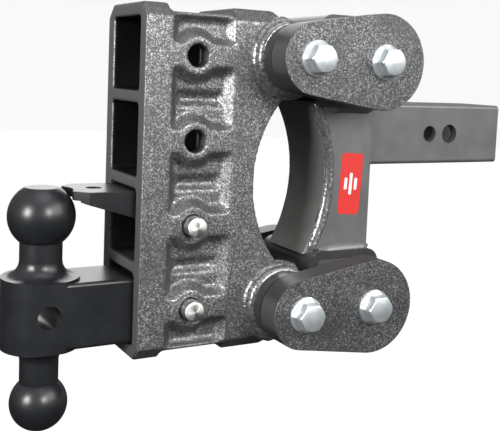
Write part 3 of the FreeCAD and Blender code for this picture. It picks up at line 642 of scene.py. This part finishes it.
def make_hitch_pin(level):
    """Turned pin with a chamfered plain end and a headed far end with a shallow centre."""
    low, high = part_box(f"{level}_hitch_pin")
    profile = [
        (low.y, 0.0),
        (low.y, PIN_RADIUS - PIN_EDGE - 0.3 * MM),
        (low.y + 0.12 * MM, PIN_RADIUS - PIN_EDGE),
        (low.y + PIN_EDGE, PIN_RADIUS - 0.1 * MM),
        (low.y + PIN_EDGE + 0.25 * MM, PIN_RADIUS),
        (PIN_SHOULDER, PIN_RADIUS),
        (PIN_SHOULDER, PIN_HEAD_RADIUS - PIN_BREAK),
        (PIN_SHOULDER + PIN_BREAK, PIN_HEAD_RADIUS),
        (high.y - PIN_EDGE, PIN_HEAD_RADIUS),
        (high.y, PIN_HEAD_RADIUS - PIN_EDGE),
        (high.y, PIN_CENTRE),
        (high.y - PIN_BREAK, PIN_CENTRE_FLOOR),
        (high.y - PIN_BREAK, 0.0),
    ]
    mesh = lathe(profile, 128)
    smooth_by_angle(mesh, 25)
    middle = PIN_MIDDLE[level]
    mesh.transform(Matrix.Translation((0, -middle.y, 0)))
    add_piece(f"{level}_hitch_pin_look", mesh, "stainless", "stainless", f"{level}_pin",
              f"{level}_hitch_pin", at=middle)


TUBE_WELD_FROM = 88
TUBE_WELD_TO = 302
TUBE_WELD_STEPS = 64
TUBE_WELD_PASSES = (
    ("outer", 3.6 * MM, 0.4 * MM, 5.4 * MM),
    ("inner", 1.0 * MM, 6.6 * MM, 4.6 * MM),
)


def make_tube_welds():
    """Two weld passes round each pivot tube where it leaves the head's lobe."""
    for level, sign in LEVEL_SIGN.items():
        centre = FRONT_PIVOT[level]
        for side_name, side in SIDES:
            for pass_name, rise, off, radius in TUBE_WELD_PASSES:
                points, outs = [], []
                for i in range(TUBE_WELD_STEPS + 1):
                    share = i / TUBE_WELD_STEPS
                    turn = TUBE_WELD_FROM + (TUBE_WELD_TO - TUBE_WELD_FROM) * share
                    angle = sign * math.radians(turn)
                    away = Vector((math.cos(angle), 0, math.sin(angle)))
                    foot = Vector((centre.x, side * (HEAD_HALF + off), centre.z))
                    points.append(foot + away * (TUBE_RADIUS + rise))
                    outs.append((away + Vector((0, side * 0.8, 0))).normalized())
                weld_bead(f"{level}_tube_weld_{side_name}_{pass_name}", points, outs, radius,
                          "head", pitch=9.0 * MM, ripple=0.10)


RISER_WELD_INSET = 3.6 * MM
RISER_WELD_REACH = 74 * MM
RISER_WELD_STEPS = 48
RISER_WELD_RADIUS = 5.6 * MM


def make_riser_welds():
    """Beads joining the curved plate to the side plates, then fillets at the housings."""
    ring = RISER_ARC - RISER_WELD_INSET
    reach = math.asin(RISER_WELD_REACH / ring)
    for side_name, side in SIDES:
        points, outs = [], []
        for i in range(RISER_WELD_STEPS + 1):
            angle = -reach + 2 * reach * i / RISER_WELD_STEPS
            away = Vector((math.cos(angle), 0, math.sin(angle)))
            middle = Vector((RISER_ARC_X, side * (FRONT_PLATE_HALF + 0.4 * MM), HEAD_MID_Z))
            points.append(middle + away * ring)
            outs.append((-away + Vector((0, side * 1.2, 0))).normalized())
        weld_bead(f"riser_weld_{side_name}", points, outs, RISER_WELD_RADIUS, "root",
                  pitch=5.0 * MM, ripple=0.03)
        for level, sign in LEVEL_SIGN.items():
            make_end_fillet(level, sign, side_name, side)


FILLET_START = 17 * MM
FILLET_END = 1.5 * MM
FILLET_OUT = 1.6 * MM
FILLET_LIFT = 1.2 * MM
FILLET_RADIUS = 6.4 * MM
FILLET_STEPS = 8


def make_end_fillet(level, sign, side_name, side):
    """The smooth fillet where a side plate stands on a torsion housing."""
    low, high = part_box(f"{level}_torsion_housing")
    face = low.z if sign > 0 else high.z
    start = low.x + FILLET_START
    end = RISER_HIGH.x - FILLET_END
    points, outs = [], []
    for i in range(FILLET_STEPS + 1):
        x = start + (end - start) * i / FILLET_STEPS
        points.append(Vector((x, side * (RISER_OUT + FILLET_OUT), face - sign * FILLET_LIFT)))
        outs.append(Vector((0, side, -sign)).normalized())
    weld_bead(f"{level}_housing_fillet_{side_name}", points, outs, FILLET_RADIUS, "root",
              pitch=7.0 * MM, ripple=0.03, material="grey_coat")


def rounded_plate(wide, tall, corner, thick):
    """A thin rounded rectangle in XZ whose front face is at Y = -thick."""
    steps = 8
    outline = []
    for cx, cz, start in ((1, 1, 0), (-1, 1, 90), (-1, -1, 180), (1, -1, 270)):
        for i in range(steps + 1):
            angle = math.radians(start + 90 * i / steps)
            outline.append((cx * (wide / 2 - corner) + corner * math.cos(angle),
                            cz * (tall / 2 - corner) + corner * math.sin(angle)))
    return skin("plate", [[(x, y, z) for x, z in outline] for y in (-thick, 0)])


LABEL_X = HEAD_FRONT + 228 * MM
LABEL_Z = HEAD_MID_Z - 6 * MM
LABEL_TILT = math.radians(3)
BAR_PITCH = 6 * MM
BAR_HEIGHTS = (12 * MM, 22 * MM, 12 * MM)


def make_label():
    """A plain red label with generic white bars on the right side plate."""
    place = Matrix.Translation((LABEL_X, -RISER_OUT, LABEL_Z))
    place = place @ Matrix.Rotation(LABEL_TILT, 4, "Y")
    base = rounded_plate(26 * MM, 62 * MM, 4 * MM, 0.25 * MM)
    base.transform(place)
    add_piece("label_base", base, "label_red", "grey_coat", "root")
    bars = []
    for step, tall in zip((-1, 0, 1), BAR_HEIGHTS):
        bar = rounded_plate(3.4 * MM, tall, 1.2 * MM, 0.4 * MM)
        bar.transform(place @ Matrix.Translation((step * BAR_PITCH, 0, 0)))
        bars.append(bar)
    add_piece("label_bars", join_meshes("label_bars", bars), "label_white", "grey_coat", "root")


# ---- Stage ----------------------------------------------------------------------------------

CAMERA_PLACE = Vector((-0.60948, -0.74186, 0.05696))
CAMERA_AZIMUTH, CAMERA_ELEVATION, CAMERA_ROLL = (math.radians(a) for a in (-30.18, 5.10, 2.42))
CAMERA_SENSOR = 36.0
CAMERA_LENS = 61.91
CAMERA_SHIFT = (-0.0407, -0.1297)


def direction(azimuth, elevation):
    """Unit vector towards a place round the object; azimuth 0 is in front of the -Y side."""
    level = math.cos(elevation)
    return Vector((math.sin(azimuth) * level, -math.cos(azimuth) * level, math.sin(elevation)))


def make_camera():
    data = bpy.data.cameras.new("camera")
    data.sensor_width = CAMERA_SENSOR
    data.lens = CAMERA_LENS
    data.shift_x, data.shift_y = CAMERA_SHIFT
    data.clip_start = 0.01
    camera = bpy.data.objects.new("camera", data)
    back = direction(CAMERA_AZIMUTH, CAMERA_ELEVATION)
    right = (-back).cross(Vector((0, 0, 1))).normalized()
    up = right.cross(-back)
    turn = Matrix.Rotation(CAMERA_ROLL, 3, back)
    axes = Matrix((turn @ right, turn @ up, back)).transposed()
    camera.matrix_world = Matrix.Translation(CAMERA_PLACE) @ axes.to_4x4()
    bpy.context.scene.collection.objects.link(camera)
    bpy.context.scene.camera = camera


FLOOR_DROP = 1.2
FLOOR_TINT, FLOOR_GLOW = 0.4, 0.78
SURROUND_TINT, SURROUND_GLOW = 0.0, 0.95
SURROUND_RADIUS = 20.0


def stage_object(name, mesh, tint, glow):
    """Floor or surround: pale, faintly mottled, and seen by the camera alone."""
    shader = Shader(name, Roughness=1.0, Emission_Strength=glow,
                    Emission_Color=(1.0, 1.0, 1.0, 1.0), Specular_IOR_Level=0.0)
    shader.colour(shader.ramp(shader.noise(3, detail=3.0), (0.3, tint * 0.97), (0.7, tint)))
    mesh.materials.append(shader.material)
    piece = bpy.data.objects.new(name, mesh)
    bpy.context.scene.collection.objects.link(piece)
    piece.visible_diffuse = False
    piece.visible_glossy = False
    piece.visible_shadow = False


def make_floor():
    """A square far below the object, so that a view from low down is clear of it."""
    level = BALL_FOOT - FLOOR_DROP
    half = SURROUND_RADIUS
    corners = [(-half, -half, level), (half, -half, level), (half, half, level),
               (-half, half, level)]
    mesh = bpy.data.meshes.new("floor")
    mesh.from_pydata(corners, [], [(0, 1, 2, 3)])
    stage_object("floor", mesh, FLOOR_TINT, FLOOR_GLOW)


def make_surround():
    """A sphere beyond every camera, which gives all its light by its own glow."""
    work = bmesh.new()
    bmesh.ops.create_uvsphere(work, u_segments=48, v_segments=24, radius=SURROUND_RADIUS)
    bmesh.ops.reverse_faces(work, faces=work.faces)
    mesh = bpy.data.meshes.new("surround")
    work.to_mesh(mesh)
    work.free()
    smooth_faces(mesh)
    stage_object("surround", mesh, SURROUND_TINT, SURROUND_GLOW)


def smooth_range(tree, source, limits):
    """The source mapped smoothly from the first two limits to the last two."""
    made = tree.nodes.new("ShaderNodeMapRange")
    made.interpolation_type = "SMOOTHSTEP"
    for socket, limit in enumerate(limits, start=1):
        made.inputs[socket].default_value = limit
    tree.links.new(source, made.inputs[0])
    return made.outputs[0]


SKY_BY_HEIGHT = (-0.40, 0.40, 0.06, 0.66)
SKY_BEHIND = (0.1, 0.9, 1.0, 0.4)


def make_sky():
    """Soft light that falls off below the horizon and behind the object."""
    world = bpy.data.worlds.new("studio")
    world.use_nodes = True
    tree = world.node_tree
    heading = tree.nodes.new("ShaderNodeTexCoord").outputs["Generated"]
    split = tree.nodes.new("ShaderNodeSeparateXYZ")
    tree.links.new(heading, split.inputs[0])
    both = tree.nodes.new("ShaderNodeMath")
    both.operation = "MULTIPLY"
    tree.links.new(smooth_range(tree, split.outputs["Z"], SKY_BY_HEIGHT), both.inputs[0])
    tree.links.new(smooth_range(tree, split.outputs["Y"], SKY_BEHIND), both.inputs[1])
    background = tree.nodes["Background"].inputs
    tree.links.new(both.outputs[0], background["Strength"])
    background["Color"].default_value = (1.0, 1.0, 1.0, 1.0)
    bpy.context.scene.world = world


LIT_POINT = Vector((-0.18, 0.0, -0.05))
LIGHT_DISTANCE = 1.7
# Name, azimuth and elevation in degrees, width and height in metres, power in watts.
LIGHTS = (
    ("left_box", -68, 14, (0.4, 0.5), 28),
    ("front_box", 2, 20, (0.35, 0.5), 18),
    ("right_box", 34, 26, (1.2, 0.9), 17),
    ("top_box", -20, 72, (1.2, 1.2), 7),
    ("rear_box", 165, 25, (1.2, 1.2), 12),
)


def area_light(name, azimuth, elevation, size, power):
    """A soft box that looks at the lit point."""
    data = bpy.data.lights.new(name, "AREA")
    data.shape = "RECTANGLE"
    data.size, data.size_y = size
    data.energy = power
    light = bpy.data.objects.new(name, data)
    away = direction(math.radians(azimuth), math.radians(elevation))
    light.location = LIT_POINT + away * LIGHT_DISTANCE
    light.rotation_euler = (-away).to_track_quat("-Z", "Y").to_euler()
    bpy.context.scene.collection.objects.link(light)


def make_stage():
    make_floor()
    make_surround()
    make_sky()
    for light in LIGHTS:
        area_light(*light)
    bpy.context.scene.view_settings.view_transform = "Standard"


# ---- Assembly -------------------------------------------------------------------------------

dress_cad_nodes()
forged_copy("receiver_head", HEAD_CELL, 1)
for node, width in EDGE_WIDTHS.items():
    eased_copy(node, width)
for level in LEVEL_SIGN:
    make_bolts(level)
    make_hitch_pin(level)
make_tube_welds()
make_riser_welds()
make_label()
make_camera()
make_stage()
